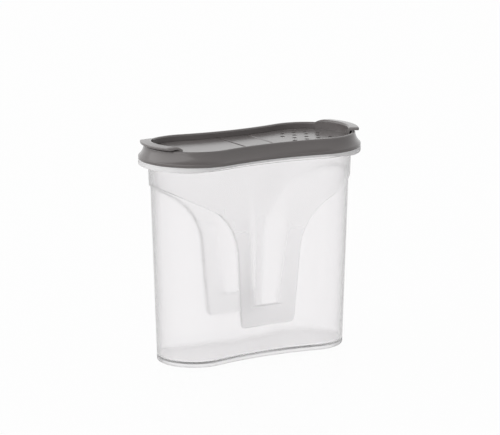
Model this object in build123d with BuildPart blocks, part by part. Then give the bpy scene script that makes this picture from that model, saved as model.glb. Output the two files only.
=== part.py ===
from build123d import *
from math import cos, hypot, radians, sin, sqrt, tan
import os

# Spice jar with a waisted body, a press-on lid and two hinged flaps: one to pour, one to shake.
# Millimetres. X runs along the jar, +Z is up, the origin is under the middle of the base.
# The pour flap is at -X and the shaker flap at +X.

# Plan shape: two round ends joined by a concave waist, at the widest part of the mouth
lobe_x = 35.7        # centre of each round end, from the middle
lobe_r = 29.9        # radius of each round end
waist_drawn_in = 3.8 # how far the waist lies inside the ends, each side
waist_y = lobe_r - waist_drawn_in    # half width at the waist
waist_r = (lobe_x**2 + waist_y**2 - lobe_r**2) / (2 * (lobe_r - waist_y))

# Jar body
body_height = 112.0      # up to the top of the mouth flange
draft = 1.75             # taper of every wall, in degrees
collar_inset = 5.2       # collar behind the edge of the flange
collar_wall = 1.4
panel_step = 0.85        # lower side panels behind the collar and its tongues
wall = 1.2
foot_height = 1.8        # hollow under the floor
foot_width = 2.4
floor_thickness = 1.2
base_edge_r = 1.0
floor_edge_r = 1.0
flange_thickness = 1.2
end_lip_depth = 1.7      # turned-down lip of the flange at both ends
end_lip_width = 1.2
end_lip_start = 32.0     # where the lip begins, from the middle
end_lip_full = 50.0      # where it has its full depth
mouth_gap = 0.2          # top of the mouth below the deck, in the groove of the lid

# Tongue: the collar runs down both long faces and ends in a square tip
tongue_bottom = 18.3
tongue_tip = 16.5        # half width at the bottom
tongue_top = 20.8        # half width where the sides meet the sloping collar edge
tongue_corner = body_height - 33.3   # height of that meeting, before it is rounded
collar_slope = 0.5       # rise of the collar edge towards the ends
tongue_sweep_r = 34.0
tongue_corner_r = 3.0

# Finger grip in each tongue
grip_bottom = 29.5
grip_top = body_height - 5.0
grip_depth = 2.0         # at the ledge, fading to nothing at the top
grip_tip = 8.0           # half width at the ledge
grip_mid = 9.9           # half width 39 mm below the top
grip_mid_z = grip_top - 39.0
grip_neck = 12.2         # half width 15 mm below the top
grip_neck_z = grip_top - 15.0
grip_mouth = 16.9        # half width at the top

# Lid frame
lid_height = 8.0         # from the flange to the top of the rim
rim_inset = 2.95         # outer face of the rim behind the edge of the foot
rim_wall = 2.2
rim_round = 1.0
foot_bead = 1.6          # height of the foot of the skirt
foot_round = 0.6
flare_in = 2.0           # middle of the flare, in from the edge of the foot
flare_up = 2.4           # and up from the top of the foot
skirt_wall = 1.8
deck_gap = 0.4           # deck below the flaps
deck_thickness = 1.6
plug_clearance = 0.1     # plug wall to mouth, all round
bead_clearance = 0.05
plug_wall = 1.2
plug_depth = 3.4         # below the deck
plug_to_shoulder = 1.0   # bottom of the plug above the end of the straight mouth
plug_lead = 0.3          # taper at the bottom of the plug
bead_rise = 1.4          # middle of the seal bead above the bottom of the plug
bead_flat = 0.3          # half height of the bead where it is proud
bead_foot = 0.7          # half height where it leaves the wall

# Pour opening and its plug ring
pour_margin = 4.75       # deck left between the opening and the rim
pour_r = lobe_r - rim_inset - rim_wall - pour_margin
ring_clearance = 0.35
ring_wall = 1.2
ring_depth = 3.5

# Sieve: rows of holes on a triangular grid, and the pegs that close them
hole_r = 1.5
hole_pitch = 7.6
sieve_x = lobe_x         # middle of the centre row
sieve_half_x = 14.0      # the holes fill an oval
sieve_half_y = lobe_r - 8.4
hole_rim = 0.6           # width of the raised rim of each hole
hole_rim_height = 0.25
peg_clearance = 0.3
peg_depth = 1.4
peg_taper = 0.15         # smaller at the tip
dimple_r = 1.4           # hollow over each peg
dimple_depth = 1.1

# Hinges
pour_hinge_x = lobe_x - pour_r - 6.7             # hinge axes, from the middle
shaker_hinge_x = sieve_x - sieve_half_x - 10.7
knuckle_r = 1.2
pin_r = 0.9
pin_length = 1.3         # beyond the knuckle
pin_clearance = 0.05     # pin in its socket
socket_end_gap = 0.25
trough_gap = 0.25        # round the knuckle

# Flaps
flap_thickness = 1.6
flap_drop = 3.4          # top of the flaps below the top of the rim
flap_gap = 0.6           # round the flaps
tab_angle = 46.5         # half angle of each end tab
tab_riser = 1.4
tab_overhang = 1.0       # tip of the tab behind the edge of the foot
tab_clearance = 0.9      # above the rim
tab_lip = 1.3
tab_droop = 0.5          # fall of the lip towards its tip
tab_round = 0.5
tab_corner_r = 4.0       # ends of the lip, seen from above
tab_top_r = 5.0          # top corners of the tab, seen from the end of the jar

# Heights and insets that follow
rim_top = body_height + lid_height
flap_top = rim_top - flap_drop
flap_bottom = flap_top - flap_thickness
deck_top = flap_bottom - deck_gap
deck_bottom = deck_top - deck_thickness
mouth_top = deck_bottom - mouth_gap
hinge_z = flap_top - knuckle_r
inner_floor = foot_height + floor_thickness
mouth_inset = collar_inset + collar_wall
rim_inner = rim_inset + rim_wall
flap_inset = rim_inner + flap_gap
plug_inset = mouth_inset + plug_clearance
plug_bottom = deck_bottom - plug_depth
mouth_depth = plug_bottom - plug_to_shoulder
foot_bead_top = body_height + foot_bead
flange_bottom = body_height - flange_thickness
overlap = 0.4            # how far joined shapes run into each other
reach = 5.0              # how far a cutting shape runs past the end of its cut
far = lobe_x + lobe_r + 4 * reach


def collar_at(z):
    """Inset of the collar and tongue face at height z."""
    return collar_inset + (body_height - z) * tan(radians(draft))


def panel_at(z):
    """Inset of the side panel face at height z."""
    return collar_at(z) + panel_step


def grip_at(z):
    """Inset of the face of the finger grip at height z, which leans in more than the tongue does."""
    return collar_at(z) + grip_depth * (grip_top - z) / (grip_top - grip_bottom)


def half_width(x, inset):
    """Half width of the waisted outline near the middle, at x."""
    return waist_y + waist_r - sqrt((waist_r + inset) ** 2 - x**2)


def waisted_wire(inset):
    """Waisted outline, parallel to the edge of the flange and inset from it."""
    r = lobe_r - inset
    span = hypot(lobe_x, waist_y + waist_r)
    join_x = lobe_x - r * lobe_x / span
    join_y = r * (waist_y + waist_r) / span
    with BuildLine() as outline:
        ThreePointArc((join_x, join_y), (0, waist_y - inset), (-join_x, join_y))
        ThreePointArc((-join_x, join_y), (-lobe_x - r, 0), (-join_x, -join_y))
        ThreePointArc((-join_x, -join_y), (0, inset - waist_y), (join_x, -join_y))
        ThreePointArc((join_x, -join_y), (lobe_x + r, 0), (join_x, join_y))
    return outline.wires()[0]


def waisted_face(inset):
    """Face inside the waisted outline."""
    with BuildSketch() as outline:
        add(waisted_wire(inset))
        make_face()
    return outline.sketch


def tapered_block(bottom_z, bottom_inset, top_z, top_inset):
    """Waisted solid whose inset changes evenly from bottom to top."""
    with BuildPart() as block:
        with BuildSketch(Plane.XY.offset(bottom_z)):
            add(waisted_face(bottom_inset))
        with BuildSketch(Plane.XY.offset(top_z)):
            add(waisted_face(top_inset))
        loft(ruled=True)
    return block.part


def straight_block(bottom_z, top_z, inset):
    """Waisted solid with upright sides."""
    with BuildPart() as block:
        with BuildSketch(Plane.XY.offset(bottom_z)):
            add(waisted_face(inset))
        extrude(amount=top_z - bottom_z)
    return block.part


def radial_plane(end, angle):
    """Upright plane through the centre of one round end: x is the radius, y is the height."""
    radius = Vector(end * cos(radians(angle)), sin(radians(angle)), 0)
    return Plane(origin=(end * lobe_x, 0, 0), x_dir=radius, z_dir=radius.cross(Vector(0, 0, 1)))


def sieve_points():
    """Centres of the sieve holes: a triangular grid, kept inside the oval."""
    points = []
    rows = int(sieve_half_y / (hole_pitch * sqrt(3) / 2))
    columns = int(sieve_half_x / hole_pitch) + 1
    for row in range(-rows, rows + 1):
        y = row * hole_pitch * sqrt(3) / 2
        for column in range(-columns, columns + 1):
            x = (column + row % 2 / 2) * hole_pitch
            if (x / sieve_half_x) ** 2 + (y / sieve_half_y) ** 2 < 1:
                points.append((sieve_x + x, y))
    return points


def grip_prism(grow):
    """Prism through both long faces with the outline of the finger grip, grown all round."""
    bottom = grip_bottom - grow
    with BuildPart() as prism:
        with BuildSketch(Plane.XZ):
            with BuildLine():
                right = Spline((grip_tip + grow, bottom), (grip_mid + grow, grip_mid_z),
                               (grip_neck + grow, grip_neck_z), (grip_mouth + grow, grip_top))
                left = Spline((-grip_tip - grow, bottom), (-grip_mid - grow, grip_mid_z),
                              (-grip_neck - grow, grip_neck_z), (-grip_mouth - grow, grip_top))
                Line(right @ 0, left @ 0)
                Line(right @ 1, left @ 1)
            make_face()
        extrude(amount=lobe_r, both=True)
    return prism.part


# Collar and tongues: the outer shape one step proud of the side panels
with BuildPart() as collar:
    tongue_low = tongue_bottom - reach
    add(tapered_block(tongue_low, collar_at(tongue_low), body_height, collar_at(body_height)))
    with BuildSketch(Plane.XZ):
        far_z = tongue_corner + (far - tongue_top) * collar_slope
        with BuildLine():
            edge = FilletPolyline(
                (-far, far_z), (-tongue_top, tongue_corner), (-tongue_tip, tongue_bottom),
                (tongue_tip, tongue_bottom), (tongue_top, tongue_corner), (far, far_z),
                radius=(tongue_sweep_r, tongue_corner_r, tongue_corner_r, tongue_sweep_r))
            Polyline(edge @ 1, (far, far_z + body_height), (-far, far_z + body_height), edge @ 0)
        make_face()
    extrude(amount=far, both=True, mode=Mode.INTERSECT)

# Finger grips: what is cut from the outside, and what stands behind it inside the jar
grip_low = grip_bottom - reach
grip_face = tapered_block(grip_low, grip_at(grip_low), grip_top, grip_at(grip_top))
grip_back = tapered_block(grip_low, grip_at(grip_low) + wall, grip_top, grip_at(grip_top) + wall)
grip_recess = grip_prism(0) - grip_face
grip_backing = grip_prism(wall) - grip_back

# Inside of the jar: tapered from the floor to a straight mouth, with the grips standing in
with BuildPart() as jar_inside:
    add(tapered_block(inner_floor, panel_at(inner_floor) + wall, mouth_depth, panel_at(mouth_depth) + wall))
    fillet(jar_inside.faces().sort_by(Axis.Z)[0].edges(), floor_edge_r)
    add(straight_block(mouth_depth, mouth_top, mouth_inset))
    add(grip_backing, mode=Mode.SUBTRACT)

# Turned-down lips at the two ends of the flange
with BuildPart() as end_lips:
    lip_bottom = flange_bottom - end_lip_depth
    add(straight_block(lip_bottom, flange_bottom, 0))
    add(straight_block(lip_bottom, flange_bottom, end_lip_width), mode=Mode.SUBTRACT)
    with BuildSketch(Plane.XZ):
        Polygon((-end_lip_start, flange_bottom), (-end_lip_full, lip_bottom), (end_lip_full, lip_bottom),
                (end_lip_start, flange_bottom), align=None)
    extrude(amount=far, both=True, mode=Mode.SUBTRACT)

# Jar body: tapered shell with its foot, tongues, grips and flange
with BuildPart() as jar_body:
    add(tapered_block(0, panel_at(0), flange_bottom, panel_at(flange_bottom)))
    fillet(jar_body.faces().sort_by(Axis.Z)[0].edges(), base_edge_r)
    add(collar.part)
    add(straight_block(flange_bottom, body_height, 0))
    add(end_lips.part)
    add(straight_block(body_height, mouth_top, collar_inset))
    add(jar_inside.part, mode=Mode.SUBTRACT)
    add(grip_recess, mode=Mode.SUBTRACT)
    add(straight_block(0, foot_height, panel_at(0) + foot_width), mode=Mode.SUBTRACT)

jar_body.part.label = "jar_body"


# Lid frame: skirt and rim swept round the outline, deck, centre panel, plug wall and openings
foot_path = waisted_wire(0)
section = Plane(origin=foot_path @ 0, x_dir=Vector(0, 0, 1).cross(foot_path % 0), z_dir=foot_path % 0)

with BuildPart() as rim:
    with BuildSketch(section) as rim_section:
        with BuildLine():
            foot = Polyline((skirt_wall, deck_bottom), (skirt_wall, body_height), (0, body_height),
                            (0, foot_bead_top))
            flare = ThreePointArc(foot @ 1, (flare_in, foot_bead_top + flare_up),
                                  (rim_inset, rim_top - rim_round))
            outer_round = RadiusArc(flare @ 1, (rim_inset + rim_round, rim_top), rim_round)
            crest = Line(outer_round @ 1, (rim_inner - rim_round, rim_top))
            inner_round = RadiusArc(crest @ 1, (rim_inner, rim_top - rim_round), rim_round)
            Polyline(inner_round @ 1, (rim_inner, deck_bottom), (skirt_wall, deck_bottom))
        make_face()
        fillet(rim_section.vertices().group_by(Axis.X)[0].sort_by(Axis.Y)[-1], foot_round)
    sweep(path=foot_path)

with BuildPart() as plug:
    with BuildSketch(section):
        with BuildLine():
            plug_inner = plug_inset + plug_wall
            bead_z = plug_bottom + bead_rise
            bead_inset = mouth_inset + bead_clearance
            Polyline((plug_inset, deck_bottom + overlap), (plug_inset, bead_z + bead_foot),
                     (bead_inset, bead_z + bead_flat), (bead_inset, bead_z - bead_flat),
                     (plug_inset, bead_z - bead_foot), (plug_inset + plug_lead, plug_bottom),
                     (plug_inner, plug_bottom), (plug_inner, deck_bottom + overlap), close=True)
        make_face()
    sweep(path=foot_path)

with BuildPart() as lid_frame:
    add(straight_block(deck_bottom, deck_top, rim_inner - overlap))
    add(rim.part)
    add(plug.part)
    with BuildSketch(Plane.XY.offset(deck_top)):
        add(waisted_face(flap_inset))
        panel_left = -pour_hinge_x + knuckle_r + trough_gap
        panel_right = shaker_hinge_x - knuckle_r - trough_gap
        with Locations(((panel_left + panel_right) / 2, 0)):
            Rectangle(panel_right - panel_left, 2 * lobe_r, mode=Mode.INTERSECT)
    extrude(amount=flap_top - deck_top)
    with Locations((-lobe_x, 0, deck_bottom)):
        Cylinder(pour_r, deck_thickness, align=(Align.CENTER, Align.CENTER, Align.MIN), mode=Mode.SUBTRACT)
    with BuildSketch(Plane.XY.offset(deck_top)):
        with Locations(*sieve_points()):
            Circle(hole_r + hole_rim)
    extrude(amount=hole_rim_height)
    with BuildSketch(Plane.XY.offset(deck_bottom)):
        with Locations(*sieve_points()):
            Circle(hole_r)
    extrude(amount=deck_thickness + hole_rim_height, mode=Mode.SUBTRACT)
    for hinge_x in (-pour_hinge_x, shaker_hinge_x):
        socket_end = half_width(hinge_x, flap_inset) + pin_length + socket_end_gap
        with BuildSketch(Plane.XZ):
            with Locations((hinge_x, hinge_z)):
                Circle(knuckle_r + trough_gap)
        extrude(amount=half_width(hinge_x, rim_inner), both=True, mode=Mode.SUBTRACT)
        with BuildSketch(Plane.XZ):
            with Locations((hinge_x, hinge_z)):
                Circle(pin_r + pin_clearance)
        extrude(amount=socket_end, both=True, mode=Mode.SUBTRACT)

lid_frame.part.label = "lid_frame"


def flap_blank(side, hinge_x):
    """Plate, hinge knuckle, stub pins and end tab that both flaps share; side is -1 or 1."""
    inner = lobe_r - flap_inset - tab_riser
    outer = lobe_r - flap_inset
    tip = lobe_r - tab_overhang
    under_lip = rim_top + tab_clearance
    over_lip = under_lip + tab_lip
    with BuildPart() as end_tab:
        with BuildSketch(radial_plane(side, -tab_angle)) as tab:
            Polygon((inner, flap_bottom), (outer, flap_bottom), (outer, under_lip),
                    (tip, under_lip - tab_droop), (tip, over_lip - tab_droop), (inner, over_lip),
                    align=None)
            fillet(tab.vertices().sort_by(Axis.Y)[-1], 2 * tab_round)
            fillet(tab.vertices().sort_by(Axis.X)[-2:], tab_round)
        revolve(axis=Axis((side * lobe_x, 0, 0), (0, 0, side)), revolution_arc=2 * tab_angle)
        with BuildSketch(Plane.XY.offset(flap_bottom)) as tab_plan:
            with Locations((side * lobe_x, 0)):
                Circle(tip)
            end_x = side * (lobe_x + far * cos(radians(tab_angle)))
            end_y = far * sin(radians(tab_angle))
            Polygon((side * lobe_x, 0), (end_x, -end_y), (end_x, end_y), align=None, mode=Mode.INTERSECT)
            fillet(tab_plan.vertices().sort_by_distance((side * lobe_x, 0))[-2:], tab_corner_r)
        extrude(amount=over_lip - flap_bottom, mode=Mode.INTERSECT)
        with BuildSketch(Plane.YZ) as tab_front:
            with Locations((0, (flap_bottom + over_lip) / 2)):
                Rectangle(2 * outer * sin(radians(tab_angle)), over_lip - flap_bottom)
            fillet(tab_front.vertices().group_by(Axis.Y)[-1], tab_top_r)
        extrude(amount=far, both=True, mode=Mode.INTERSECT)
    with BuildPart() as blank:
        with BuildSketch(Plane.XY.offset(flap_bottom)):
            add(waisted_face(flap_inset))
            with Locations((side * (hinge_x + far / 2), 0)):
                Rectangle(far, 2 * lobe_r, mode=Mode.INTERSECT)
        extrude(amount=flap_thickness)
        with BuildSketch(Plane.XZ):
            with Locations((side * hinge_x, hinge_z)):
                Circle(knuckle_r)
        extrude(amount=half_width(hinge_x, flap_inset), both=True)
        with BuildSketch(Plane.XZ):
            with Locations((side * hinge_x, hinge_z)):
                Circle(pin_r)
        extrude(amount=half_width(hinge_x, flap_inset) + pin_length, both=True)
        add(end_tab.part)
    return blank.part


# Pour flap with the plug ring that closes the round opening
with BuildPart() as pour_flap:
    add(flap_blank(-1, pour_hinge_x))
    with BuildSketch(Plane.XY.offset(flap_bottom - ring_depth)):
        with Locations((-lobe_x, 0)):
            Circle(pour_r - ring_clearance)
            Circle(pour_r - ring_clearance - ring_wall, mode=Mode.SUBTRACT)
    extrude(amount=ring_depth + overlap)

pour_flap.part.label = "pour_flap"

# Shaker flap with a peg for every hole of the sieve
with BuildPart() as shaker_flap:
    add(flap_blank(1, shaker_hinge_x))
    peg_r = hole_r - peg_clearance
    with Locations(*[(x, y, flap_bottom - peg_depth) for x, y in sieve_points()]):
        Cone(peg_r - peg_taper, peg_r, peg_depth, align=(Align.CENTER, Align.CENTER, Align.MIN))
    with BuildSketch(Plane.XY.offset(flap_top)):
        with Locations(*sieve_points()):
            Circle(dimple_r)
    extrude(amount=-dimple_depth, mode=Mode.SUBTRACT)

shaker_flap.part.label = "shaker_flap"


os.makedirs("parts", exist_ok=True)
export_step(jar_body.part, "parts/jar_body.step")
export_step(lid_frame.part, "parts/lid_frame.step")
export_step(pour_flap.part, "parts/pour_flap.step")
export_step(shaker_flap.part, "parts/shaker_flap.step")
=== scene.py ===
"""Spice jar: a clear waisted jar with a grey press-on lid that has a pour flap and a shaker flap.

Shapes are worked out in millimetres and turned into metres when a piece becomes an object.
X runs along the jar, the pour flap is at -X, the shaker flap at +X, and +Z is up."""
import math

import bmesh
import bpy
import numpy as np
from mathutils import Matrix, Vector
from mathutils.geometry import delaunay_2d_cdt


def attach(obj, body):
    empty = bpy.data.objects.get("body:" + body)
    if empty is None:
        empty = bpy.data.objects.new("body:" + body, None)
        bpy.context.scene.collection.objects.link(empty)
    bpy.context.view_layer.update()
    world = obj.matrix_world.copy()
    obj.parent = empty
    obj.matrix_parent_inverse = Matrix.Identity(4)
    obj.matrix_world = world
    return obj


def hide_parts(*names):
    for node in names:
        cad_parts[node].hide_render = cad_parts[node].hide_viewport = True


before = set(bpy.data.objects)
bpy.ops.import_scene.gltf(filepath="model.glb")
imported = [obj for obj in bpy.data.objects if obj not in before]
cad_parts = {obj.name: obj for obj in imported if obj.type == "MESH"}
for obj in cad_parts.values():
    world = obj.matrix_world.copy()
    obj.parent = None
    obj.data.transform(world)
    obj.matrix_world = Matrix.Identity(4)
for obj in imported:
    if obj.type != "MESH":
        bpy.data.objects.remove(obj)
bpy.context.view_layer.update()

MM = 0.001

# Photograph's frame and the camera that took it
PHOTO_W, PHOTO_H = 500, 435
FOCAL_PX = 2889.5                 # focal length in pixels of the photograph
AXIS_PX = (250.63, 245.53)        # where the aim point falls in the photograph
CAMERA_AT = Vector((-0.78636, -1.33083, 0.41537))
AIM_AT = Vector((0.0, 0.0, 0.0591))
SENSOR = 36.0
CLIP_NEAR, CLIP_FAR = 0.05, 20

# Plan shape: two round ends and a concave waist, at the widest part of the mouth
LOBE_X, LOBE_R, WAIST_Y = 35.7, 29.9, 26.1
WAIST_R = (LOBE_X**2 + WAIST_Y**2 - LOBE_R**2) / (2 * (LOBE_R - WAIST_Y))
WAIST_TURN = math.atan2(LOBE_X, WAIST_Y + WAIST_R)
WAIST_RUN = WAIST_R * WAIST_TURN                       # along the outline, middle to joint
QUARTER = WAIST_RUN + LOBE_R * (math.pi / 2 + WAIST_TURN)
DEEP = 20                         # an inset well inside, which only shows a line its way

# Jar: insets are from the plan outline, and a wall's inset grows downwards with the draft
BODY_TOP = 112.0
DRAFT = math.tan(math.radians(1.75))
COLLAR_INSET, COLLAR_WALL, PANEL_STEP, WALL = 5.2, 1.4, 0.85, 1.2
MOUTH_TOP = 112.8
SHOULDER = 108.6                  # ledge in the mouth below the lid's plug wall
BASE_EDGE, FLOOR_EDGE = 1.0, 0.95   # roundings outside at the base and inside at the floor
FLOOR = 3.0
FOOT_HOLLOW, FOOT_WIDTH, FOOT_ROUND = 1.8, 2.4, 0.3
FLANGE_LOW = BODY_TOP - 1.2
LIP_DEPTH, LIP_WIDTH, LIP_FROM, LIP_FULL = 1.7, 1.2, 32.0, 50.0    # deeper towards the two ends
# Lower edge of the flange's lip: inset, and height over its lowest line
LIP_EDGE = ((1.2, 0.2), (1.1, 0.05), (0.95, 0.0), (0.45, 0.0), (0.13, 0.1), (0.0, 0.4))
OUTER_HIGH = FLANGE_LOW - 0.5     # where the outer wall meets the rounding under the flange
INNER_LOW, INNER_HIGH = FLOOR + 1.0, SHOULDER - 0.3    # ends of the inner wall

# Tongue that hangs from the collar on each long face, and the finger grip in it
TONGUE = ((0, 18.3), (16.5, 18.3), (20.8, 78.7))       # half outline of the tongue, x and z
TONGUE_RADII = (3.0, 34.0)
COLLAR_SLOPE = 0.5
STEP_SOFT = 0.6                   # half width of the rounded step at the tongue's edge
GRIP_LOW, GRIP_TOP, GRIP_DEPTH = 29.5, 107.0, 2.0
GRIP_SIDE = ((29.5, 8.0), (68.0, 9.9), (92.0, 12.2), (107.0, 16.9))   # z and half width
GRIP_SIDE_SOFT, GRIP_LEDGE_SOFT = 3.4, 0.3    # half widths of its soft side and its crisp ledge
BACK_SOFT = 3.0                   # the same for the whole back of the grip, inside the jar

# Milkiness of the jar's wall, kept at each point: 0 where it is thin, 1 at the tongue's tip
HAZE_TOP = 0.2         # thick wall at the mouth
FOOT_HAZE = 1.4        # foot, which is seen through the edge of the floor
FOOT_SOFT = 0.4        # height over which the wall turns as milky as the foot
FLANGE_MARK = 2.0      # marks the flange, which has a milkier finish of its own
FLOOR_MARK = -1.0      # marks the floor, which stays clear however flat it is looked at
MARK_GAP = 0.05        # spare where a mark or its border is tested

# Lid
RIM_TOP, RIM_ROUND = 120.0, 1.0
RIM_OUT, RIM_IN = 2.95, 5.15
SKIRT_WALL, BEAD_TOP, BEAD_ROUND = 1.8, 113.6, 0.6
FLARE = ((0.0, 113.6), (2.0, 116.0), (2.95, 119.0))   # skirt above its foot: inset and z
DECK_TOP, DECK_LOW = 114.6, 113.0
PLUG_OUT, PLUG_IN, PLUG_LOW, PLUG_LEAD = 6.7, 7.9, 109.6, 0.3
SEAL_OUT, SEAL_Z, SEAL_HALF, SEAL_FLAT = 6.65, 111.0, 0.7, 0.3
POUR_R, POUR_EDGE = 20.0, 0.3
HOLE_R, HOLE_PITCH, HOLE_RIM, HOLE_RIM_UP, HOLE_LEAD = 1.5, 7.6, 0.6, 0.25, 0.25
SIEVE_X, SIEVE_HALF = LOBE_X, (14.0, 21.5)
POUR_HINGE, SHAKER_HINGE, HINGE_Z = -9.0, 11.0, 115.4
KNUCKLE_R, PIN_R, PIN_RUN, TROUGH_R, SOCKET_R, SOCKET_SPARE = 1.2, 0.9, 1.3, 1.45, 0.95, 0.25

# Flaps
FLAP_TOP, FLAP_LOW, FLAP_INSET = 116.6, 115.0, 5.75
TAB_TURN = math.radians(46.5)     # half angle of a tab
TAB_IN, TAB_OUT, TAB_TIP = 22.75, 24.15, 28.9         # radii about the centre of the round end
TAB_CORNER, TAB_EDGE = 4.0, 0.25  # ends of the lip seen from above, and their small roundings
TAB_TOP_R = 5.0                   # top corners of the tab seen from the end of the jar
TAB_UNDER, TAB_OVER, TAB_DROOP = 120.9, 122.2, 0.5
RING_R, RING_WALL, RING_LOW = 19.65, 1.2, 111.5
PEG_R, PEG_TIP_R, PEG_LOW = 1.2, 1.05, 113.6
DIMPLE_R, DIMPLE_DEPTH, DIMPLE_EDGE = 1.3, 1.1, 0.1
ROOT = 0.3                        # how far an added shape reaches into what it grows from
PAST = 0.0001                     # how far a cut's edge stands past the face that it opens in

# Finishes
CLEAR_THIN, CLEAR_THICK = (0.966, 0.958, 0.963), (0.84, 0.832, 0.837)
MILKY = (0.99, 0.98, 0.985)
SLANTED_WALL = (0.46, 0.45, 0.455)   # what a wall seen edge-on lets through, a longer way
LID_GREY, FLAP_GREY = (0.125, 0.113, 0.111), (0.128, 0.116, 0.114)

# Studio
SKY_SOFT = 0.6                    # soft light from all round
SKY_BACK, SKY_FRONT = 1.2, 1.0    # what gloss mirrors near the horizon, behind and in front
SKY_OVERHEAD = 0.12
SKY_FROM, SKY_TO = 0.8, 0.95      # heights between which it gets dim, as the rise of the view
MIRRORED_SHARE = 0.7              # white that is left of a background seen by way of a mirror image
FLOOR_HALF, FLOOR_TONE, FLOOR_ROUGH, FLOOR_GLOW = 6.0, 0.55, 0.25, 0.96


# Plan outline

def on_outline(s, inset):
    """x and y at a run s along the outline from the middle of the front, moved in by inset."""
    s, inset = np.broadcast_arrays(np.asarray(s, float), np.asarray(inset, float))
    quarters = np.floor(s / QUARTER + 1e-9)
    turn = quarters.astype(int) % 4
    run = s - quarters * QUARTER
    run = np.where(turn % 2 == 1, QUARTER - run, run)
    waist, lobe = run / WAIST_R, (run - QUARTER) / LOBE_R
    on_waist = run < WAIST_RUN
    x = np.where(on_waist, (WAIST_R + inset) * np.sin(waist), LOBE_X + (LOBE_R - inset) * np.cos(lobe))
    y = np.where(on_waist, (WAIST_R + inset) * np.cos(waist) - WAIST_Y - WAIST_R,
                 (LOBE_R - inset) * np.sin(lobe))
    return np.where(turn < 2, x, -x), np.where((turn == 0) | (turn == 3), y, -y)


def run_at(x, inset):
    """Run along the first quarter of the outline at which its inset copy has this x."""
    x, inset = np.broadcast_arrays(np.asarray(x, float), np.asarray(inset, float))
    on_waist = x < (WAIST_R + inset) * math.sin(WAIST_TURN)
    waist = WAIST_R * np.arcsin(np.clip(x / (WAIST_R + inset), -1, 1))
    lobe = QUARTER - LOBE_R * np.arccos(np.clip((x - LOBE_X) / (LOBE_R - inset), -1, 1))
    return np.where(on_waist, waist, lobe)


def half_width(x, inset):
    """Half width of the inset outline near the middle, at x."""
    return WAIST_Y + WAIST_R - math.sqrt((WAIST_R + inset) ** 2 - x**2)


def full_loop(quarter):
    """Runs all the way round from the runs of the first quarter, which go from 0 to QUARTER."""
    back = 2 * QUARTER - quarter[::-1]
    return np.concatenate([quarter[:-1], back[:-1], 2 * QUARTER + quarter[:-1], 2 * QUARTER + back[:-1]])


QUARTER_RUNS = np.concatenate([np.linspace(0, WAIST_RUN, 25), np.linspace(WAIST_RUN, QUARTER, 45)[1:]])
FULL_RUNS = full_loop(QUARTER_RUNS)


# Lines

def rounded(corners, closed=False, step=math.radians(18)):
    """Points through the corners (x, y, radius), each corner rounded to its radius."""
    points = []
    count = len(corners)
    for i, (x, y, radius) in enumerate(corners):
        if radius == 0 or (not closed and i in (0, count - 1)):
            points.append((x, y))
            continue
        here = Vector((x, y))
        to_last = (Vector(corners[i - 1][:2]) - here).normalized()
        to_next = (Vector(corners[(i + 1) % count][:2]) - here).normalized()
        half = to_last.angle(to_next) / 2
        centre = here + (to_last + to_next).normalized() * radius / math.sin(half)
        start = here + to_last * radius / math.tan(half) - centre
        turn = math.copysign(math.pi - 2 * half, to_last.cross(to_next))
        steps = max(2, math.ceil(abs(turn) / step))
        for k in range(steps + 1):
            angle = -turn * k / steps
            points.append((centre.x + start.x * math.cos(angle) - start.y * math.sin(angle),
                           centre.y + start.x * math.sin(angle) + start.y * math.cos(angle)))
    return points


def through(points, count):
    """Points along the circle through three points."""
    (x1, y1), (x2, y2), (x3, y3) = points
    a = x2**2 + y2**2 - x1**2 - y1**2
    b = x3**2 + y3**2 - x1**2 - y1**2
    c = 2 * ((x2 - x1) * (y3 - y1) - (x3 - x1) * (y2 - y1))
    centre_x = (a * (y3 - y1) - b * (y2 - y1)) / c
    centre_y = (b * (x2 - x1) - a * (x3 - x1)) / c
    start = math.atan2(y1 - centre_y, x1 - centre_x)
    end = math.atan2(y3 - centre_y, x3 - centre_x)
    end = start + (end - start + math.pi) % (2 * math.pi) - math.pi
    r = math.hypot(x1 - centre_x, y1 - centre_y)
    return [(centre_x + r * math.cos(t), centre_y + r * math.sin(t)) for t in np.linspace(start, end, count)]


def shrunk(points, distance):
    """Closed line of points (in order against the clock) moved inwards by a small distance."""
    points = np.array(points, float)
    ahead = np.roll(points, -1, 0) - np.roll(points, 1, 0)
    ahead /= np.hypot(ahead[:, 0], ahead[:, 1])[:, None]
    return points + np.column_stack([-ahead[:, 1], ahead[:, 0]]) * distance


def resample(points, step):
    """Points about a step apart along a line of points, ends kept."""
    points = np.array(points, float)
    along = np.concatenate([[0], np.cumsum(np.hypot(*np.diff(points, axis=0).T))])
    count = max(2, round(along[-1] / step) + 1)
    at = np.linspace(0, along[-1], count)
    return np.column_stack([np.interp(at, along, points[:, 0]), np.interp(at, along, points[:, 1])])


def offset_line(line, distance):
    """Line beside another, towards its left, with its ends still at the quarter's borders."""
    ahead = np.gradient(line, axis=0)
    ahead /= np.hypot(ahead[:, 0], ahead[:, 1])[:, None]
    moved = line + np.column_stack([-ahead[:, 1], ahead[:, 0]]) * distance
    moved[0, 0], moved[-1, 0] = line[0, 0], line[-1, 0]
    return moved


def level_line(runs, z):
    """Line of (run, z) at one height."""
    return np.column_stack([runs, np.full(len(runs), z)])


def distance_to(line, s, z):
    """Distance of the points (s, z) from a line of points."""
    best = np.full(np.shape(s), 1e9)
    for (s0, z0), (s1, z1) in zip(line[:-1], line[1:]):
        ds, dz = s1 - s0, z1 - z0
        t = np.clip(((s - s0) * ds + (z - z0) * dz) / (ds * ds + dz * dz), 0, 1)
        best = np.minimum(best, np.hypot(s - s0 - t * ds, z - z0 - t * dz))
    return best


def smooth(t):
    """Soft step from 0 at t = -1 to 1 at t = 1."""
    t = np.clip((t + 1) / 2, 0, 1)
    return t * t * (3 - 2 * t)


# Building meshes

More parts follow.
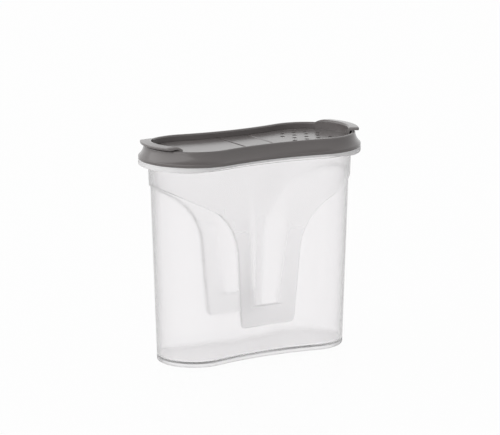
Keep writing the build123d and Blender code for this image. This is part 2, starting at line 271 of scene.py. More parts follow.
class Skin:
    """Points and faces of one piece, in millimetres, with the milkiness of the wall at each point."""

    def __init__(self):
        self.points, self.faces, self.haze = [], [], []

    def add(self, x, y, z, haze=0.0):
        """Adds points and gives their numbers."""
        x, y, z, haze = np.broadcast_arrays(x, y, z, haze)
        first = len(self.points)
        self.points.extend(zip(x.ravel(), y.ravel(), z.ravel()))
        self.haze.extend(haze.ravel())
        return list(range(first, len(self.points)))

    def ring(self, inset, z, haze=0.0):
        """Adds a ring of points that follows the plan outline."""
        x, y = on_outline(FULL_RUNS, inset)
        return self.add(x, y, z, haze)

    def band(self, a, b):
        """Faces between two closed rows of as many points."""
        for i in range(len(a)):
            j = (i + 1) % len(a)
            self.faces.append((a[i], a[j], b[j], b[i]))

    def bands(self, rows, closed=False):
        """Faces between each row and the next, and back to the first if closed."""
        for a, b in zip(rows, rows[1:] + (rows[:1] if closed else [])):
            self.band(a, b)

    def capped(self, rows):
        """Bands between the rows, and a flat face at each end."""
        self.bands(rows)
        self.faces.append(tuple(rows[0]))
        self.faces.append(tuple(rows[-1]))

    def ladder(self, ring):
        """Fills a ring that follows the plan outline with strips from front to back."""
        count = len(ring)
        n = count // 4
        for i in range(-n, n):
            strip = [ring[i % count], ring[(i + 1) % count], ring[(2 * n - i - 1) % count],
                     ring[(2 * n - i) % count]]
            self.faces.append(tuple(dict.fromkeys(strip)))

    def made(self, name):
        """Turns the points and faces into an object, with doubled points welded."""
        mesh = bpy.data.meshes.new(name)
        mesh.from_pydata([(x * MM, y * MM, z * MM) for x, y, z in self.points], [], self.faces)
        layer = mesh.attributes.new("haze", "FLOAT", "POINT")
        layer.data.foreach_set("value", np.array(self.haze, np.float32))
        bm = bmesh.new()
        bm.from_mesh(mesh)
        bmesh.ops.remove_doubles(bm, verts=bm.verts, dist=2e-7)
        bmesh.ops.recalc_face_normals(bm, faces=bm.faces)
        bm.to_mesh(mesh)
        bm.free()
        return placed(name, mesh)


def placed(name, data):
    """Object in the scene for some data."""
    piece = bpy.data.objects.new(name, data)
    bpy.context.scene.collection.objects.link(piece)
    return piece


def turned(name, centre, profile, segments=32, closed=False):
    """Solid turned about an upright axis from a profile of (radius, z)."""
    skin = Skin()
    angles = np.linspace(0, 2 * math.pi, segments, endpoint=False)
    rows = [skin.add(centre[0] + r * np.cos(angles), centre[1] + r * np.sin(angles), z) for r, z in profile]
    if closed:
        skin.bands(rows, closed=True)
    else:
        skin.capped(rows)
    return skin.made(name)


def rod(name, x, profile, segments=32):
    """Solid turned about a hinge axis, level along Y, from a profile of (y, radius)."""
    skin = Skin()
    angles = np.linspace(0, 2 * math.pi, segments, endpoint=False)
    skin.capped([skin.add(x + r * np.cos(angles), y, HINGE_Z + r * np.sin(angles)) for y, r in profile])
    return skin.made(name)


def stacked(name, outline, levels):
    """Solid from copies of one outline, a function of its inset, at levels of (inset, z)."""
    skin = Skin()
    skin.capped([skin.add(*outline(inset), z) for inset, z in levels])
    return skin.made(name)


def joined(pieces, name):
    """One object from pieces that don't touch each other."""
    bm = bmesh.new()
    for piece in pieces:
        bm.from_mesh(piece.data)
    mesh = bpy.data.meshes.new(name)
    bm.to_mesh(mesh)
    bm.free()
    for piece in pieces:
        bpy.data.objects.remove(piece)
    return placed(name, mesh)


def combine(piece, tool, operation):
    """Adds the tool to the piece, or cuts it out of the piece, and removes the tool."""
    modifier = piece.modifiers.new("combine", "BOOLEAN")
    modifier.operation = operation
    modifier.solver = "MANIFOLD"
    modifier.object = tool
    bpy.context.view_layer.update()
    made = bpy.data.meshes.new_from_object(piece.evaluated_get(bpy.context.evaluated_depsgraph_get()))
    piece.modifiers.clear()
    piece.data = made
    bpy.data.objects.remove(tool)
    return piece


def shade(piece, limit=math.radians(35)):
    """Smooth shading, split at edges sharper than the limit, with flat faces kept flat."""
    bm = bmesh.new()
    bm.from_mesh(piece.data)
    for face in bm.faces:
        face.smooth = True
    for edge in bm.edges:
        edge.smooth = len(edge.link_faces) == 2 and edge.calc_face_angle(0) < limit
    bm.to_mesh(piece.data)
    bm.free()
    weights = piece.modifiers.new("flat_faces", "WEIGHTED_NORMAL")
    weights.keep_sharp = True
    weights.weight = 80


# Jar's wall, as insets over (run, z) of the first quarter

def collar_at(z):
    """Inset of the collar and the tongue."""
    return COLLAR_INSET + (BODY_TOP - z) * DRAFT


def panel_at(z):
    """Inset of the panels beside and below the tongue."""
    return collar_at(z) + PANEL_STEP


def tongue_line():
    """Edge of the tongue and collar over the first quarter, as (run, z)."""
    (x0, z0), (x1, z1), (x2, z2) = TONGUE
    x_end = LOBE_X + LOBE_R - COLLAR_INSET
    for _ in range(8):
        z_end = z2 + (x_end - x2) * COLLAR_SLOPE
        x_end = LOBE_X + LOBE_R - collar_at(z_end) - PANEL_STEP / 2
    side_radius, shoulder_radius = TONGUE_RADII
    path = rounded([(x0, z0, 0), (x1, z1, side_radius), (x2, z2, shoulder_radius), (x_end, z_end, 0)],
                   step=math.radians(4))
    x_last = path[-2][0]
    t = np.linspace(0, 1, 60)[1:]
    x = x_end - (x_end - x_last) * (1 - t) ** 2
    path = np.vstack([path[:-1], np.column_stack([x, z2 + (x - x2) * COLLAR_SLOPE])])
    run = run_at(path[:, 0], collar_at(path[:, 1]) + PANEL_STEP / 2)
    run[-1] = QUARTER
    return np.column_stack([run, path[:, 1]])


TONGUE_LINE = tongue_line()
GRIP_CURVE = np.polyfit([z for z, _ in GRIP_SIDE], [x for _, x in GRIP_SIDE], 3)


def grip_run(z):
    """Run at which the side of the finger grip lies, at height z."""
    z = np.clip(z, GRIP_LOW, GRIP_TOP)
    return run_at(np.polyval(GRIP_CURVE, z), collar_at(z))


def in_grip(s, z, grow, side_soft, ledge_soft):
    """Share of the finger grip's depth at (s, z), from 0 outside to 1 well inside."""
    side = (grip_run(z) + grow - s) / side_soft
    ledge = (z - GRIP_LOW + grow) / ledge_soft
    return smooth(side) * smooth(ledge)


def grip_depth(z):
    """Depth of the grip at height z: full at the ledge, none at its top."""
    return GRIP_DEPTH * np.clip((GRIP_TOP - z) / (GRIP_TOP - GRIP_LOW), 0, 1)


def outer_inset(s, z):
    """Inset of the jar's outer face, with the step of the tongue and the finger grip."""
    side = np.sign(z - np.interp(s, TONGUE_LINE[:, 0], TONGUE_LINE[:, 1]))
    step = smooth(side * distance_to(TONGUE_LINE, s, z) / STEP_SOFT)
    return panel_at(z) - PANEL_STEP * step + grip_depth(z) * in_grip(s, z, 0, GRIP_SIDE_SOFT, GRIP_LEDGE_SOFT)


def inner_inset(s, z):
    """Inset of the jar's inner face, where the backs of the grips stand in."""
    back = np.maximum(0, grip_depth(z) - PANEL_STEP)
    return panel_at(z) + WALL + back * in_grip(s, z, WALL, BACK_SOFT, BACK_SOFT)


def haze_at(s, z):
    """Milkiness of the wall, from 0: full where the tongue is thick, and less towards the mouth."""
    extra = np.clip((inner_inset(s, z) - outer_inset(s, z) - WALL) / PANEL_STEP, 0, 1)
    height = (BODY_TOP - z) / (BODY_TOP - TONGUE[0][1])
    wall = extra * np.clip(HAZE_TOP + (1 - HAZE_TOP) * height, 0, 1)
    return wall + (FOOT_HAZE - wall) * smooth((FLOOR - z) / FOOT_SOFT)


# Jar's mesh

def sheet_points(z_low, z_high, lines, rise=2.2):
    """Points and edges of one quarter of a sheet: its border, its lines, and rows between them."""
    points, edges = [], []

    def chain(run, closed=False):
        """Adds a line of points and the edges along it."""
        first = len(points)
        points.extend(map(tuple, run))
        last = len(points) - 1
        edges.extend((i, i + 1) for i in range(first, last))
        if closed:
            edges.append((last, first))

    heights = np.linspace(z_low, z_high, round((z_high - z_low) / rise) + 1)
    border = [(s, z_low) for s in QUARTER_RUNS] + [(QUARTER, z) for z in heights[1:-1]]
    border += [(s, z_high) for s in QUARTER_RUNS[::-1]] + [(0.0, z) for z in heights[-2:0:-1]]
    chain(border, closed=True)
    for line in lines:
        chain(line)
    taken = np.array(points)
    clear_of_lines = (QUARTER_RUNS[1] - QUARTER_RUNS[0]) * 0.75
    between = (QUARTER_RUNS[:-1] + QUARTER_RUNS[1:]) / 2
    for k, z in enumerate(heights[1:-1]):
        row = QUARTER_RUNS[1:-1] if k % 2 else between
        nearest = np.hypot(taken[:, 0, None] - row[None], taken[:, 1, None] - z).min(0)
        points.extend((s, z) for s in row[nearest > clear_of_lines])
    return points, edges


def wall_sheet(skin, z_low, z_high, lines, inset_at):
    """Adds one face of the jar's wall: a sheet of (run, z) laid out along its lines, then bent round."""
    points, edges = sheet_points(z_low, z_high, lines)
    flat, _, triangles, *_ = delaunay_2d_cdt([Vector(p) for p in points], edges, [], 0, 1e-6)
    flat = np.array([tuple(p) for p in flat])
    s, z = np.clip(flat[:, 0], 0, QUARTER), flat[:, 1]
    inset, haze = inset_at(s, z), haze_at(s, z)
    for turn in range(4):
        run = turn * QUARTER + s if turn % 2 == 0 else (turn + 1) * QUARTER - s
        x, y = on_outline(run - (run >= 4 * QUARTER) * 4 * QUARTER, inset)
        numbers = skin.add(x, y, z, haze)
        skin.faces.extend(tuple(numbers[i] for i in triangle) for triangle in triangles)


def add_outer_wall(skin):
    """Outer face, with rows of points along the tongue's edge, round the grip and above the foot."""
    edge = resample(TONGUE_LINE, 0.8)
    lines = [offset_line(edge, share * STEP_SOFT) for share in (-1.1, -0.7, -0.35, 0, 0.35, 0.7, 1.1)]
    heights = np.linspace(GRIP_LOW - 1, GRIP_TOP + 1, 70)
    lines += [np.column_stack([grip_run(heights) + share * GRIP_SIDE_SOFT, heights])
              for share in (-1, -0.66, -0.33, 0, 0.33, 0.66, 1)]
    ledge = np.linspace(0, grip_run(GRIP_LOW) + GRIP_SIDE_SOFT, 14)
    lines += [level_line(ledge, GRIP_LOW + share * GRIP_LEDGE_SOFT) for share in (-1, -0.5, 0, 0.5, 1)]
    lines += [level_line(QUARTER_RUNS, FLOOR + shift) for shift in (-FOOT_SOFT, FOOT_SOFT)]
    wall_sheet(skin, BASE_EDGE, OUTER_HIGH, lines, outer_inset)


def add_inner_wall(skin):
    """Inner face, with rows of points round the back of the grip."""
    top = GRIP_TOP - PANEL_STEP / GRIP_DEPTH * (GRIP_TOP - GRIP_LOW)
    heights = np.linspace(GRIP_LOW - WALL - BACK_SOFT, top, 40)
    lines = [np.column_stack([grip_run(heights) + WALL + share * BACK_SOFT, heights])
             for share in (-1, -0.5, 0, 0.5, 1)]
    under = np.linspace(0, grip_run(GRIP_LOW) + WALL + BACK_SOFT, 14)
    lines += [level_line(under, GRIP_LOW - WALL + share * BACK_SOFT) for share in (-1, -0.5, 0, 0.5, 1)]
    wall_sheet(skin, INNER_LOW, INNER_HIGH, lines, inner_inset)


def add_base(skin):
    """Underside: the rounded edge, the foot ring and the hollow that it stands round."""
    inside = panel_at(0) + FOOT_WIDTH
    profile = rounded([(panel_at(BASE_EDGE), BASE_EDGE, 0), (panel_at(0), 0, BASE_EDGE),
                       (inside, 0, FOOT_ROUND), (inside, FOOT_HOLLOW, FOOT_ROUND), (DEEP, FOOT_HOLLOW, 0)])
    hazes = [FOOT_HAZE if z < FOOT_HOLLOW - 0.5 else FLOOR_MARK for _, z in profile]
    rings = [skin.ring(inset, z, haze) for (inset, z), haze in zip(profile[:-1], hazes)]
    skin.bands(rings)
    skin.ladder(rings[-1])


def add_floor(skin):
    """Raised floor inside, and its rounding up into the wall."""
    corner = panel_at(FLOOR) + WALL
    profile = rounded([(panel_at(INNER_LOW) + WALL, INNER_LOW, 0), (corner, FLOOR, FLOOR_EDGE),
                       (DEEP, FLOOR, 0)])
    hazes = [FLOOR_MARK if inset > corner + 0.6 else 0 for inset, _ in profile]
    rings = [skin.ring(inset, z, haze) for (inset, z), haze in zip(profile[:-1], hazes)]
    skin.bands(rings)
    skin.ladder(rings[-1])


def add_mouth(skin):
    """Rounding under the flange, the flange with its lip, the upstand and the ledge in the mouth."""
    x, _ = on_outline(FULL_RUNS, LIP_WIDTH / 2)
    drop = LIP_DEPTH * np.clip((np.abs(x) - LIP_FROM) / (LIP_FULL - LIP_FROM), 0, 1)
    under = rounded([(collar_at(OUTER_HIGH), OUTER_HIGH, 0), (collar_at(FLANGE_LOW), FLANGE_LOW, 0.45),
                     (LIP_WIDTH, FLANGE_LOW, 0.2), (LIP_WIDTH, FLANGE_LOW - 1, 0)])[:-1]
    rings = [skin.ring(inset, z, HAZE_TOP if k < 2 else FLANGE_MARK) for k, (inset, z) in enumerate(under)]
    rings += [skin.ring(inset, FLANGE_LOW + rise - drop, FLANGE_MARK) for inset, rise in LIP_EDGE]
    inside = COLLAR_INSET + COLLAR_WALL
    over = rounded([(0, FLANGE_LOW, 0), (0, BODY_TOP, 0.35), (COLLAR_INSET, BODY_TOP, 0.15),
                    (COLLAR_INSET, MOUTH_TOP, 0.25), (inside, MOUTH_TOP, 0.35), (inside, SHOULDER, 0.1),
                    (panel_at(SHOULDER) + WALL, SHOULDER, 0.25),
                    (panel_at(INNER_HIGH) + WALL, INNER_HIGH, 0)])
    rings += [skin.ring(inset, z, FLANGE_MARK if inset < COLLAR_INSET - MARK_GAP else HAZE_TOP)
              for inset, z in over]
    skin.bands(rings)


def make_jar():
    """The jar: both faces of the wall as sheets, and the rest as rings that join them."""
    skin = Skin()
    for add in (add_outer_wall, add_inner_wall, add_base, add_floor, add_mouth):
        add(skin)
    return skin.made("jar_shell")


# Lid

def sieve_points():
    """Centres of the sieve holes: a triangular grid, kept inside an oval."""
    points = []
    rise = HOLE_PITCH * math.sqrt(3) / 2
    for row in range(-3, 4):
        for column in range(-3, 4):
            x, y = (column + row % 2 / 2) * HOLE_PITCH, row * rise
            if (x / SIEVE_HALF[0]) ** 2 + (y / SIEVE_HALF[1]) ** 2 < 1:
                points.append((SIEVE_X + x, y))
    return points


def lid_tray():
    """All of the lid that follows the outline: plug wall with its seal, skirt, rim and deck."""
    under = [(DEEP, DECK_LOW, 0), (PLUG_IN, DECK_LOW, 0.4), (PLUG_IN, PLUG_LOW, 0.3),
             (PLUG_OUT + PLUG_LEAD, PLUG_LOW, 0.2), (PLUG_OUT, SEAL_Z - SEAL_HALF, 0.3),
             (SEAL_OUT, SEAL_Z - SEAL_FLAT, 0.3), (SEAL_OUT, SEAL_Z + SEAL_FLAT, 0.3),
             (PLUG_OUT, SEAL_Z + SEAL_HALF, 0.3), (PLUG_OUT, DECK_LOW, 0.2)]
    skirt = [(SKIRT_WALL, DECK_LOW, 0.1), (SKIRT_WALL, BODY_TOP, 0.2), (0, BODY_TOP, 0.35),
             (0, BEAD_TOP, BEAD_ROUND)]
    skirt += [(inset, z, 0) for inset, z in through(FLARE, 16)[1:-1]]
    over = [(RIM_OUT, RIM_TOP - RIM_ROUND, 0), (RIM_OUT, RIM_TOP, RIM_ROUND), (RIM_IN, RIM_TOP, RIM_ROUND),
            (RIM_IN, DECK_TOP, 0.35), (DEEP, DECK_TOP, 0)]
    profile = rounded(under + skirt + over, step=math.radians(12))[1:-1]
    skin = Skin()
    rings = [skin.ring(inset, z) for inset, z in profile]
    skin.bands(rings)
    skin.ladder(rings[0])
    skin.ladder(rings[-1])
    return skin.made("lid_shell")


def panel_outline(inset):
    """Outline of the centre panel, between the troughs of the two hinges."""
    left, right = POUR_HINGE + TROUGH_R + inset, SHAKER_HINGE - TROUGH_R - inset
    x = np.linspace(left, right, 24)
    y = np.array([half_width(v, FLAP_INSET + inset) for v in x])
    return np.concatenate([x, x[::-1]]), np.concatenate([-y, y])


def add_sieve(lid):
    """Raised rims round the sieve holes, and the holes through them with eased edges."""
    top, rim_r = DECK_TOP + HOLE_RIM_UP, HOLE_R + HOLE_RIM
    rim = rounded([(rim_r, DECK_TOP - ROOT, 0), (rim_r, top, 0.15), (0.2, top, 0)])
    hole = [(HOLE_R + HOLE_LEAD, DECK_LOW - 0.5), (HOLE_R + HOLE_LEAD, DECK_LOW),
            (HOLE_R, DECK_LOW + HOLE_LEAD), (HOLE_R, top - 0.15), (HOLE_R + 0.05, top - 0.05),
            (HOLE_R + 0.15, top + PAST), (HOLE_R + 0.15, top + 1)]
    rims = [turned("rim", at, rim) for at in sieve_points()]
    holes = [turned("hole", at, hole) for at in sieve_points()]
    combine(lid, joined(rims, "rims"), "UNION")
    combine(lid, joined(holes, "holes"), "DIFFERENCE")


def cut_pour_opening(lid):
    """Round opening through the deck, with both its edges eased."""
    wide, eased = POUR_R + POUR_EDGE, POUR_R + 0.1
    profile = [(wide, DECK_LOW - 0.5), (wide, DECK_LOW - 0.001), (eased, DECK_LOW + 0.1),
               (POUR_R, DECK_LOW + POUR_EDGE), (POUR_R, DECK_TOP - POUR_EDGE), (eased, DECK_TOP - 0.1),
               (wide, DECK_TOP + 0.001), (wide, DECK_TOP + 0.15)]
    combine(lid, turned("pour", (-LOBE_X, 0), profile, segments=144), "DIFFERENCE")


def cut_hinge(lid, x):
    """Trough that a flap's knuckle turns in, and the blind sockets of its pins in the rim."""
    trough = half_width(x, RIM_IN)
    combine(lid, rod("trough", x, [(-trough, TROUGH_R), (trough, TROUGH_R)], 48), "DIFFERENCE")
    socket = half_width(x, FLAP_INSET) + PIN_RUN + SOCKET_SPARE
    combine(lid, rod("sockets", x, [(-socket, SOCKET_R), (socket, SOCKET_R)]), "DIFFERENCE")


def make_lid():
    """The lid frame: the tray with its centre panel, sieve, pour opening and hinges."""
    lid = lid_tray()
    panel_edge = rounded([(0, DECK_TOP - 0.4, 0), (0, FLAP_TOP, 0.25), (5, FLAP_TOP, 0)])[:-1]
    combine(lid, stacked("panel", panel_outline, panel_edge), "UNION")
    add_sieve(lid)
    cut_pour_opening(lid)
    cut_hinge(lid, POUR_HINGE)
    cut_hinge(lid, SHAKER_HINGE)
    return lid


# Flaps

def tab_sections():
    """Sections of a tab from one end to the other: its angle, and how much its end is eased."""
    corner = math.asin(TAB_CORNER / (TAB_TIP - TAB_CORNER))
    edge = TAB_EDGE / TAB_TIP
    straight = np.linspace(0, TAB_TURN - corner, 20)
    curved = np.linspace(TAB_TURN - corner, TAB_TURN - edge, 9)[1:]
    half = [(angle, 0.0) for angle in np.concatenate([straight, curved])]
    half += [(TAB_TURN - edge * (1 - math.sin(t)), TAB_EDGE * (1 - math.cos(t)))
             for t in np.linspace(0, math.pi / 2, 5)[1:]]
    return [(-angle, eased) for angle, eased in half[:0:-1]] + half


def make_tab(side):
    """End tab: a riser round the flap's end with a lip bent outwards, whose ends are rounded."""
    section = rounded([(TAB_IN, FLAP_LOW + ROOT, 0), (TAB_OUT, FLAP_LOW + ROOT, 0), (TAB_OUT, TAB_UNDER, 0.8),
                       (TAB_TIP, TAB_UNDER - TAB_DROOP, 0.45), (TAB_TIP, TAB_OVER - TAB_DROOP, 0.5),
                       (TAB_IN, TAB_OVER, 1.2)], closed=True)
    to_corner = TAB_TIP - TAB_CORNER
    corner_from = TAB_TURN - math.asin(TAB_CORNER / to_corner)
    skin = Skin()
    rows = []
    for angle, eased in tab_sections():
        past = max(0.0, abs(angle) - corner_from)
        half_chord = math.sqrt(max(0.0, TAB_CORNER**2 - (to_corner * math.sin(past)) ** 2))
        lip = to_corner * math.cos(past) + half_chord
        r, z = shrunk(section, eased).T
        r = np.where(r > TAB_OUT, TAB_OUT + (r - TAB_OUT) * (lip - TAB_OUT) / (TAB_TIP - TAB_OUT), r)
        rows.append(skin.add(side * (LOBE_X + r * math.cos(angle)), r * math.sin(angle), z))
    skin.capped(rows)
    return combine(skin.made("tab"), tab_front(side), "INTERSECT")


def tab_front(side):
    """Block along X whose end view is the tab's: upright sides and rounded top corners."""
    half = TAB_OUT * math.sin(TAB_TURN)
    outline = rounded([(-half, FLAP_LOW, 0), (half, FLAP_LOW, 0), (half, TAB_OVER, TAB_TOP_R),
                       (-half, TAB_OVER, TAB_TOP_R)], closed=True, step=math.radians(6))
    y, z = np.array(outline).T
    skin = Skin()
    skin.capped([skin.add(side * x, y, z) for x in (LOBE_X, LOBE_X + LOBE_R)])
    return skin.made("tab_front")


def make_flap(side, hinge_x, name):
    """Plate, hinge knuckle, stub pins and end tab that both flaps share; side is -1 or 1."""
    share = np.concatenate([np.linspace(0, 0.3, 14), np.linspace(0.3, 1, 50)[1:]])

    def plate_outline(inset):
        """Outline of the plate, which follows the jar's and is cut off straight at the hinge."""
        start = float(run_at(abs(hinge_x), FLAP_INSET + inset))
        run = start + (QUARTER - start) * share
        x, y = on_outline(np.minimum(run, QUARTER - 1e-9), FLAP_INSET + inset)
        return side * np.concatenate([x, x[-2::-1]]), np.concatenate([y, -y[-2::-1]])

    levels = rounded([(1, FLAP_LOW, 0), (0, FLAP_LOW, 0.2), (0, FLAP_TOP, 0.3), (1, FLAP_TOP, 0)])[1:-1]
    flap = stacked(name, plate_outline, levels)
    width = half_width(hinge_x, FLAP_INSET)
    knuckle = rounded([(-width, 0.3, 0), (-width, KNUCKLE_R, 0.2), (width, KNUCKLE_R, 0.2), (width, 0.3, 0)])
    combine(flap, rod("knuckle", hinge_x, knuckle), "UNION")
    reach, lead = width + PIN_RUN, 0.3
    pins = [(-reach, PIN_R - lead), (-reach + lead, PIN_R), (reach - lead, PIN_R), (reach, PIN_R - lead)]
    combine(flap, rod("pins", hinge_x, pins), "UNION")
    return combine(flap, make_tab(side), "UNION")


def make_pour_flap():
    """The pour flap: the shared flap with the ring underneath that plugs the pour opening."""
    flap = make_flap(-1, POUR_HINGE, "pour_flap_shell")
    inside = RING_R - RING_WALL
    profile = rounded([(RING_R, FLAP_LOW + ROOT, 0), (RING_R, RING_LOW, 0.3), (inside, RING_LOW, 0.3),
                       (inside, FLAP_LOW + ROOT, 0)], closed=True)
    return combine(flap, turned("ring", (-LOBE_X, 0), profile, segments=144, closed=True), "UNION")


def make_shaker_flap():
    """The shaker flap: the shared flap with a peg for each sieve hole, and a hollow over each peg."""
    flap = make_flap(1, SHAKER_HINGE, "shaker_flap_shell")
    peg = rounded([(PEG_R, FLAP_LOW + ROOT, 0), (PEG_TIP_R, PEG_LOW, 0.2), (0.1, PEG_LOW, 0)])
    bottom, mouth = FLAP_TOP - DIMPLE_DEPTH, DIMPLE_R + DIMPLE_EDGE
    dimple = rounded([(0.1, bottom, 0), (DIMPLE_R, bottom, 0.3), (DIMPLE_R, FLAP_TOP - DIMPLE_EDGE, 0),
                      (mouth, FLAP_TOP + PAST, 0), (mouth, FLAP_TOP + 1, 0)])
    pegs = [turned("peg", at, peg) for at in sieve_points()]
    dimples = [turned("dimple", at, dimple) for at in sieve_points()]
    combine(flap, joined(pegs, "pegs"), "UNION")
    return combine(flap, joined(dimples, "dimples"), "DIFFERENCE")


# Node trees

class Nodes:
    """A node tree and short ways to add to it."""

    def __init__(self, tree):
        self.tree = tree
        tree.nodes.clear()

    def add(self, kind, inputs=None, **values):
        """Adds a node; inputs are by name or number, each a value or a socket to link from."""
        node = self.tree.nodes.new(kind)
        for name, value in values.items():
            setattr(node, name, value)
        for name, value in (inputs or {}).items():
            if isinstance(value, bpy.types.NodeSocket):
                self.tree.links.new(value, node.inputs[name])
            else:
                node.inputs[name].default_value = value
        return node

    def reckon(self, operation, *values):
        """Result of a Math node."""
        return self.add("ShaderNodeMath", dict(enumerate(values)), operation=operation).outputs[0]

    def ranged(self, value, low=0.0, high=1.0, start=0.0, end=1.0, **settings):
        """Number that runs from start to end while the value runs from low to high."""
        return self.add("ShaderNodeMapRange", {"Value": value, "From Min": low, "From Max": high,
                                               "To Min": start, "To Max": end}, **settings).outputs[0]

    def mixed(self, share, first, second, **settings):
        """Colour that runs from the first to the second with a share of 0 to 1."""
        inputs = {0: share, 6: first, 7: second}
        return self.add("ShaderNodeMix", inputs, data_type="RGBA", **settings).outputs[2]

    def noise(self, place, scale, detail, roughness=0.5):
        """Noise from about 0 to 1."""
        return self.add("ShaderNodeTexNoise", {"Vector": place, "Scale": scale, "Detail": detail,
                                               "Roughness": roughness}).outputs[0]


def new_group(name, inputs, outputs):
    """Empty shader node group with named sockets; inputs are (name, default)."""
    tree = bpy.data.node_groups.new(name, "ShaderNodeTree")
    for label, default in inputs:
        socket = tree.interface.new_socket(label, in_out="INPUT", socket_type="NodeSocketFloat")
        socket.default_value = default
    for label, kind in outputs:
        tree.interface.new_socket(label, in_out="OUTPUT", socket_type=kind)
    n = Nodes(tree)
    return tree, n, n.add("NodeGroupInput").outputs


def new_material(name):
    """Empty material and its nodes."""
    material = bpy.data.materials.new(name)
    material.use_nodes = True
    return material, Nodes(material.node_tree)


# Finishes

def moulded_surface():
    """Face of a moulded part: fine spark grain, slow flow waves, and slow changes in shade."""
    tree, n, given = new_group(
        "moulded_surface",
        [("Grain Scale", 2500.0), ("Grain Height", 0.00001), ("Wave Scale", 60.0), ("Wave Height", 0.00002)],
        [("Shade", "NodeSocketFloat"), ("Normal", "NodeSocketVector")])
    place = n.add("ShaderNodeTexCoord").outputs["Object"]
    grain = n.noise(place, given["Grain Scale"], 3.0)
    wave = n.noise(place, given["Wave Scale"], 1.0)
    waves = n.add("ShaderNodeBump", {"Height": wave, "Distance": given["Wave Height"]})
    grains = n.add("ShaderNodeBump", {"Height": grain, "Distance": given["Grain Height"],
                                      "Normal": waves.outputs[0]})
    n.add("NodeGroupOutput", {"Shade": n.noise(place, 25.0, 4.0, 0.6), "Normal": grains.outputs[0]})
    return tree


def handling_marks():
    """Mask of fine hairlines and rubbed spots that handling leaves."""
    tree, n, given = new_group("handling_marks", [("Amount", 0.5)], [("Marks", "NodeSocketFloat")])
    place = n.add("ShaderNodeTexCoord").outputs["Object"]
    hairlines = 0.0
    for turn, scale in ((0.4, 90.0), (-0.9, 130.0), (1.3, 70.0)):
        laid = n.add("ShaderNodeMapping", {"Vector": place, "Rotation": (turn, turn * 0.7, turn),
                                           "Scale": (scale * 14, scale, scale)})
        lines = n.ranged(n.noise(laid.outputs[0], 1.0, 2.0), 0.66, 0.76)
        hairlines = n.reckon("MAXIMUM", hairlines, lines)
    rubbed = n.ranged(n.noise(place, 45.0, 5.0, 0.7), 0.45, 0.7)
    marks = n.reckon("MULTIPLY", n.reckon("MULTIPLY", hairlines, rubbed), given["Amount"])
    n.add("NodeGroupOutput", {"Marks": marks})
    return tree


SURFACE = moulded_surface()
MARKS = handling_marks()


def grey_plastic(name, colour):
    """Satin grey moulding: even colour, fine grain, a soft gloss that changes a little."""
    material, n = new_material(name)
    surface = n.add("ShaderNodeGroup", node_tree=SURFACE, inputs={
        "Grain Scale": 1800.0, "Grain Height": 0.000012, "Wave Scale": 70.0, "Wave Height": 0.00006})
    marks = n.add("ShaderNodeGroup", node_tree=MARKS, inputs={"Amount": 0.6})
    dark, light = [(*[c * k for c in colour], 1) for k in (0.93, 1.07)]
    gloss = n.ranged(surface.outputs["Shade"], start=0.17, end=0.23)
    plastic = n.add("ShaderNodeBsdfPrincipled", {
        "IOR": 1.52,
        "Base Color": n.mixed(surface.outputs["Shade"], dark, light),
        "Roughness": n.reckon("MULTIPLY_ADD", marks.outputs[0], 0.15, gloss),
        "Normal": surface.outputs["Normal"]})
    n.add("ShaderNodeOutputMaterial", {"Surface": plastic.outputs[0]})
    return material


def clear_plastic(name, see_through, thin, thick):
    """Clear plastic, a little milkier and rougher where the wall is thick, and darker edge-on."""
    material, n = new_material(name)
    surface = n.add("ShaderNodeGroup", node_tree=SURFACE, inputs={
        "Grain Scale": 900.0, "Grain Height": 0.000002, "Wave Scale": 35.0, "Wave Height": 0.00003})
    marks = n.add("ShaderNodeGroup", node_tree=MARKS, inputs={"Amount": 0.4})
    haze = n.add("ShaderNodeAttribute", attribute_name="haze").outputs["Fac"]
    tone = n.mixed(n.ranged(haze, high=FLANGE_MARK), (*thin, 1), (*thick, 1))
    facing = n.add("ShaderNodeLayerWeight", {"Blend": 0.5}).outputs["Facing"]
    slanted = n.reckon("MULTIPLY", n.reckon("POWER", facing, 3.0), n.ranged(haze, FLOOR_MARK, 0.0))
    gloss = n.ranged(surface.outputs["Shade"], start=0.13, end=0.18)
    satin = n.reckon("ADD", gloss, n.ranged(haze, high=FOOT_HAZE, end=0.3))
    plastic = n.add("ShaderNodeBsdfPrincipled", {
        "IOR": 1.49,
        "Transmission Weight": see_through,
        "Base Color": n.mixed(slanted, tone, (*SLANTED_WALL, 1), blend_type="MULTIPLY"),
        "Roughness": n.reckon("MULTIPLY_ADD", marks.outputs[0], 0.1, satin),
        "Normal": surface.outputs["Normal"]})
    n.add("ShaderNodeOutputMaterial", {"Surface": plastic.outputs[0]})
    return material


def mark_flange(jar, finish):
    """Gives the faces of the flange a finish of their own."""
    jar.data.materials.append(finish)
    haze = jar.data.attributes["haze"].data
    for face in jar.data.polygons:
        if all(haze[v].value > FLANGE_MARK - MARK_GAP for v in face.vertices):
            face.material_index = 1


# Studio

def make_camera():
    """Camera at the photograph's angle, tilted so that the frame needs no shift."""
    ahead = (AIM_AT - CAMERA_AT).normalized()
    right = ahead.cross(Vector((0, 0, 1))).normalized()
    up = right.cross(ahead)
    aside, above = (PHOTO_W / 2 - AXIS_PX[0]) / FOCAL_PX, (AXIS_PX[1] - PHOTO_H / 2) / FOCAL_PX
    data = bpy.data.cameras.new("camera")
    data.sensor_width = SENSOR
    data.lens = FOCAL_PX / PHOTO_W * SENSOR
    data.clip_start, data.clip_end = CLIP_NEAR, CLIP_FAR
    camera = placed("camera", data)
    camera.location = CAMERA_AT
    camera.rotation_mode = "QUATERNION"
    camera.rotation_quaternion = (ahead + right * aside + up * above).to_track_quat("-Z", "Y")
    bpy.context.scene.camera = camera


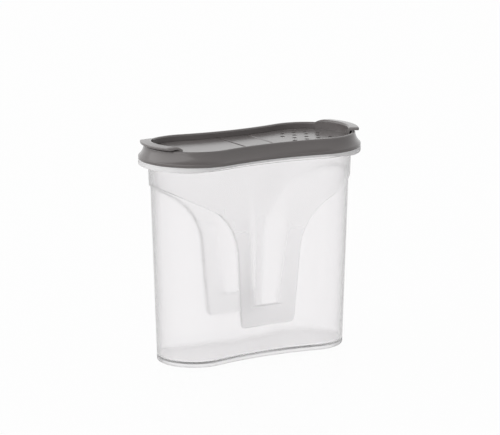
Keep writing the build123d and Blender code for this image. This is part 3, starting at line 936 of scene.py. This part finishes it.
def seen_directly(n, path):
    """1 where the camera looks straight at the studio, or at it through clear plastic."""
    mirrored = n.ranged(path.outputs["Glossy Depth"], start=1.0, end=MIRRORED_SHARE)
    through_clear = n.reckon("MULTIPLY", path.outputs["Is Transmission Ray"], mirrored)
    return n.reckon("MAXIMUM", path.outputs["Is Camera Ray"], through_clear)


def make_world():
    """White all round where it is looked at; its mirror image is bright to the horizon and dim overhead."""
    world = bpy.data.worlds.new("studio")
    bpy.context.scene.world = world
    world.use_nodes = True
    n = Nodes(world.node_tree)
    path = n.add("ShaderNodeLightPath")
    way = n.add("ShaderNodeSeparateXYZ", {0: n.add("ShaderNodeTexCoord").outputs["Generated"]}).outputs
    height = n.ranged(way["Z"], SKY_FROM, SKY_TO, interpolation_type="SMOOTHSTEP")
    front = n.ranged(way["Y"], 0.5, -0.3, interpolation_type="SMOOTHSTEP")
    mirrored = n.add("ShaderNodeMix", {"Factor": height, "A": n.ranged(front, start=SKY_BACK, end=SKY_FRONT),
                                       "B": SKY_OVERHEAD})
    soft, glossy, white = [n.add("ShaderNodeBackground", {"Color": (1, 1, 1, 1), "Strength": strength})
                           for strength in (SKY_SOFT, mirrored.outputs[0], 1.0)]
    lit = n.add("ShaderNodeMixShader", {0: path.outputs["Is Glossy Ray"], 1: soft.outputs[0],
                                        2: glossy.outputs[0]})
    seen = n.add("ShaderNodeMixShader", {0: seen_directly(n, path), 1: lit.outputs[0], 2: white.outputs[0]})
    n.add("ShaderNodeOutputWorld", {"Surface": seen.outputs[0]})


def make_lamp(name, at, aim, size, power):
    """Soft panel lamp that neither the camera nor a look through the jar shows."""
    data = bpy.data.lights.new(name, "AREA")
    data.shape = "RECTANGLE"
    data.size, data.size_y = size
    data.energy = power
    lamp = placed(name, data)
    lamp.location = at
    lamp.visible_camera = lamp.visible_transmission = False
    lamp.rotation_mode = "QUATERNION"
    lamp.rotation_quaternion = (Vector(aim) - Vector(at)).to_track_quat("-Z", "Y")


def make_floor():
    """Plain floor: white where it is looked at, apart from a share that shows the jar's shadow."""
    bm = bmesh.new()
    bmesh.ops.create_grid(bm, x_segments=1, y_segments=1, size=FLOOR_HALF)
    mesh = bpy.data.meshes.new("floor")
    bm.to_mesh(mesh)
    bm.free()
    material, n = new_material("floor")
    matt = n.add("ShaderNodeBsdfPrincipled", {"Base Color": (FLOOR_TONE, FLOOR_TONE, FLOOR_TONE, 1),
                                              "Roughness": FLOOR_ROUGH})
    glow = n.add("ShaderNodeEmission", {"Strength": 1.0})
    path = n.add("ShaderNodeLightPath")
    white = n.reckon("MAXIMUM", seen_directly(n, path), path.outputs["Is Glossy Ray"])
    mix = n.add("ShaderNodeMixShader", {0: n.reckon("MULTIPLY", white, FLOOR_GLOW), 1: matt.outputs[0],
                                        2: glow.outputs[0]})
    n.add("ShaderNodeOutputMaterial", {"Surface": mix.outputs[0]})
    mesh.materials.append(material)
    floor = placed("floor", mesh)


make_camera()
make_world()
make_lamp("left_panel", at=(-1.05, 0.05, 0.75), aim=(0, 0, 0.1), size=(3.0, 1.3), power=16)
make_lamp("top_panel", at=(0.3, 0.4, 2.2), aim=(0, 0, 0.06), size=(2.0, 2.0), power=3)
make_floor()

clear = clear_plastic("clear_plastic", 1.0, CLEAR_THIN, CLEAR_THICK)
milky = clear_plastic("milky_plastic", 0.3, MILKY, MILKY)
grey = grey_plastic("lid_grey", LID_GREY)
flap_grey = grey_plastic("flap_grey", FLAP_GREY)
for build, node, body, slot, finish in (
        (make_jar, "jar_body", "jar", "clear_body", clear),
        (make_lid, "lid_frame", "lid", "grey_lid", grey),
        (make_pour_flap, "pour_flap", "pour_flap_body", "grey_flap", flap_grey),
        (make_shaker_flap, "shaker_flap", "shaker_flap_body", "grey_flap", flap_grey)):
    piece = build()
    shade(piece)
    piece.data.materials.clear()
    piece.data.materials.append(finish)
    if build == make_jar:
        mark_flange(piece, milky)
    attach(piece, body)
    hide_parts(node)

bpy.context.scene.view_settings.view_transform = "Standard"
